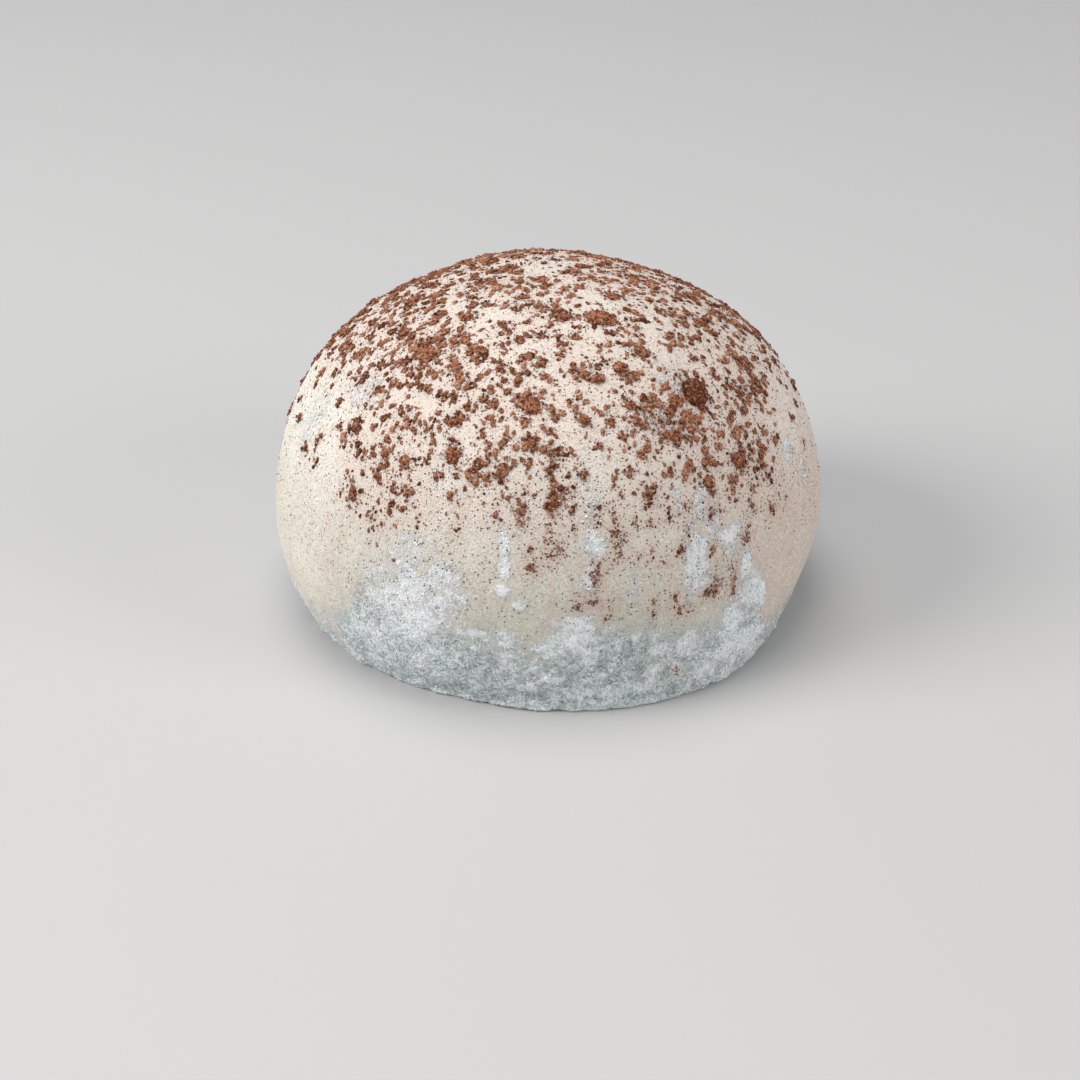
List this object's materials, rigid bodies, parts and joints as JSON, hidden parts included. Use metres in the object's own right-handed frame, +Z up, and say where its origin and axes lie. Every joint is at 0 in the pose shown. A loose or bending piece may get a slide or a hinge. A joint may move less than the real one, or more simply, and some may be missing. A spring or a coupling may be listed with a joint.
{
  "type": "mochi",
  "caption": "Round soft mochi sweet: one low dome of smooth rice dough on a flat foot, sifted with cocoa in uneven clumps and floured with starch round its base.",
  "frame": {"origin": "on the surface that the mochi stands on, under the middle of its widest ring", "axes": "+Z up; +X to the right and +Y to the back of the sweet, whose fullest dusting of cocoa lies to the left and back of its top"},
  "size_m": [0.05, 0.0475, 0.0317],
  "materials": {
    "dough": "soft matt rice dough, cream under a white starch bloom, dusted with matt brown cocoa on top"
  },
  "bodies": {
    "root": {"mochi": "dough"}
  },
  "joints": []
}
